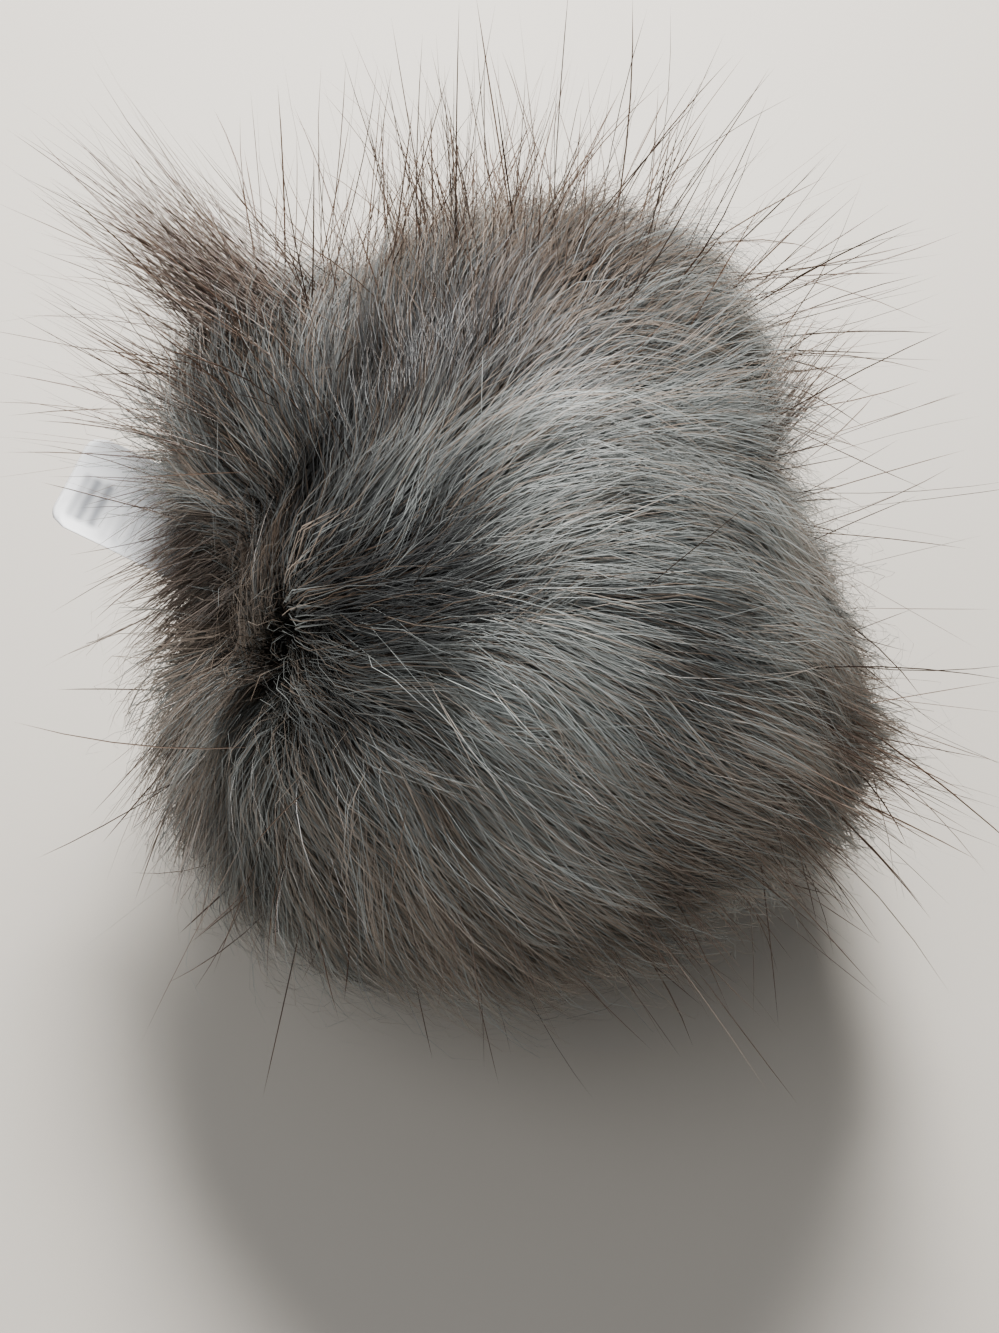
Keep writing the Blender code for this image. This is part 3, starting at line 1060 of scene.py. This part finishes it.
class POMPOM_OT_label(Operator):
    """Makes the folded satin label that is sewn in beside the gather"""

    bl_idname = "pompom.label"
    bl_label = "Label"

    def execute(self, context):
        settings = context.scene.pompom_label
        solid = np.array([tuple(v.co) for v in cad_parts["satin_label"].data.vertices])
        tip = (solid @ LABEL_OUT).max()
        middle = ((solid @ LABEL_ACROSS).min() + (solid @ LABEL_ACROSS).max()) / 2
        level = (solid[solid @ LABEL_OUT > tip - LABEL_TIP] @ LABEL_FACE).mean()
        corners = ribbon_corners(settings, tip, middle, level)
        rows = np.arange(len(corners)).reshape(LABEL_SIDES + 1, LABEL_STEPS + 1)
        quads = np.stack([rows[:-1, :-1], rows[:-1, 1:], rows[1:, 1:], rows[1:, :-1]], -1).reshape(-1, 4)
        label = mesh_object("label", corners, [quads], label_finish(tuple(settings.colour)))
        across, up = np.indices(rows.shape)
        lay_map(label, 0.02 + 0.96 * across.ravel() / LABEL_SIDES, 0.02 + 0.96 * up.ravel() / LABEL_STEPS)
        finished(label, "satin", "satin_label")
        return {"FINISHED"}


# Stage: floor, lights and camera.


class StageSettings(PropertyGroup):
    elevation: FloatProperty(name="Elevation", description="Camera's height, in degrees", default=62.0)
    distance: length_property("Distance", "Camera to ball", 0.34)
    lens: FloatProperty(name="Lens", description="Focal length in millimetres", default=52.5)
    sun: FloatProperty(name="Window", description="Power of the window light, in watts", default=20.0)
    fill: FloatProperty(name="Fill", description="Power of the fill light, in watts", default=2.6)
    sky: FloatProperty(name="Sky", description="Strength of the light all round", default=0.28)


FLOOR_COLOUR = (0.47, 0.44, 0.395, 1.0)
FLOOR_REACH = 2.0  # metres
WINDOW_COLOUR = (1.0, 0.985, 0.965)
SKY_COLOUR = (0.97, 0.98, 1.0)
LIGHT_DISTANCE = 0.9  # metres
BALL_MIDDLE = np.array((0.00239, -0.00098, 0.058))  # the middle of the oval under its lobes
AIM_LEFT = 0.0018  # how far the camera aims to the left of that, in metres
AIM_BELOW = 0.0090


def area_light(name, azimuth, elevation, size, power, colour):
    """A round lamp that shines on the ball from this azimuth and elevation."""
    place = CENTRE + LIGHT_DISTANCE * pointing(azimuth, elevation)
    light = bpy.data.lights.new(name, "AREA")
    light.shape = "DISK"
    light.size = size
    light.energy = power
    light.color = colour
    made = bpy.data.objects.new(name, light)
    made.location = place
    made.rotation_euler = (Vector(CENTRE) - Vector(place)).to_track_quat("-Z", "Y").to_euler()
    bpy.context.scene.collection.objects.link(made)


class POMPOM_OT_stage(Operator):
    """Makes the floor, the lights and the camera"""

    bl_idname = "pompom.stage"
    bl_label = "Stage"

    def execute(self, context):
        settings = context.scene.pompom_stage
        finish = Finish("pale floor", Roughness=0.6, Base_Color=FLOOR_COLOUR)
        corners = FLOOR_REACH * np.array([(-1, -1, 0), (1, -1, 0), (1, 1, 0), (-1, 1, 0)])
        mesh_object("floor", corners, [np.array([[0, 1, 2, 3]])], finish.material)
        area_light("window light", 91.0, 46.0, 0.30, settings.sun, WINDOW_COLOUR)
        area_light("fill light", 205.0, 60.0, 0.7, settings.fill, SKY_COLOUR)
        world = bpy.data.worlds.new("soft studio")
        world.use_nodes = True
        background = world.node_tree.nodes["Background"]
        background.inputs["Color"].default_value = (*SKY_COLOUR, 1.0)
        background.inputs["Strength"].default_value = settings.sky
        context.scene.world = world
        context.scene.view_settings.look = "AgX - Medium High Contrast"
        camera = bpy.data.objects.new("camera", bpy.data.cameras.new("camera"))
        camera.data.lens = settings.lens
        camera.data.clip_start = 0.01
        towards = pointing(-90.0, settings.elevation)
        right = np.array((1.0, 0.0, 0.0))
        up = np.cross(towards, right)
        aim = BALL_MIDDLE - AIM_LEFT * right - AIM_BELOW * up
        camera.location = aim + settings.distance * towards
        camera.rotation_euler = Vector(-towards).to_track_quat("-Z", "Y").to_euler()
        context.scene.collection.objects.link(camera)
        context.scene.camera = camera
        return {"FINISHED"}


class POMPOM_PT_panel(Panel):
    """The pom pom's pieces, in the order they are made in"""

    bl_idname = "POMPOM_PT_panel"
    bl_label = "Pom pom"
    bl_space_type = "VIEW_3D"
    bl_region_type = "UI"
    bl_category = "Pom pom"

    def draw(self, context):
        for operator, _ in STEPS:
            box = self.layout.box()
            box.operator(operator.bl_idname)
            settings = getattr(context.scene, settings_name(operator))
            for name in settings.__annotations__:
                box.prop(settings, name)


# The operators and their settings, in the order in which they run.
STEPS = (
    (POMPOM_OT_stage, StageSettings),
    (POMPOM_OT_backing, BackingSettings),
    (POMPOM_OT_undercoat, UndercoatSettings),
    (POMPOM_OT_pile, PileSettings),
    (POMPOM_OT_wisps, WispSettings),
    (POMPOM_OT_guard_hairs, GuardSettings),
    (POMPOM_OT_painted_glints, PaintedGlintSettings),
    (POMPOM_OT_tufts, TuftSettings),
    (POMPOM_OT_label, LabelSettings),
)


def settings_name(operator):
    """The scene's property that holds an operator's settings."""
    return operator.bl_idname.replace(".", "_")


def register():
    for operator, settings in STEPS:
        bpy.utils.register_class(settings)
        bpy.utils.register_class(operator)
        setattr(bpy.types.Scene, settings_name(operator), PointerProperty(type=settings))
    bpy.utils.register_class(POMPOM_PT_panel)


def unregister():
    bpy.utils.unregister_class(POMPOM_PT_panel)
    for operator, settings in reversed(STEPS):
        delattr(bpy.types.Scene, settings_name(operator))
        bpy.utils.unregister_class(operator)
        bpy.utils.unregister_class(settings)


def main():
    register()
    for operator, _ in STEPS:
        family, name = operator.bl_idname.split(".")
        getattr(getattr(bpy.ops, family), name)()


if __name__ == "__main__":
    main()
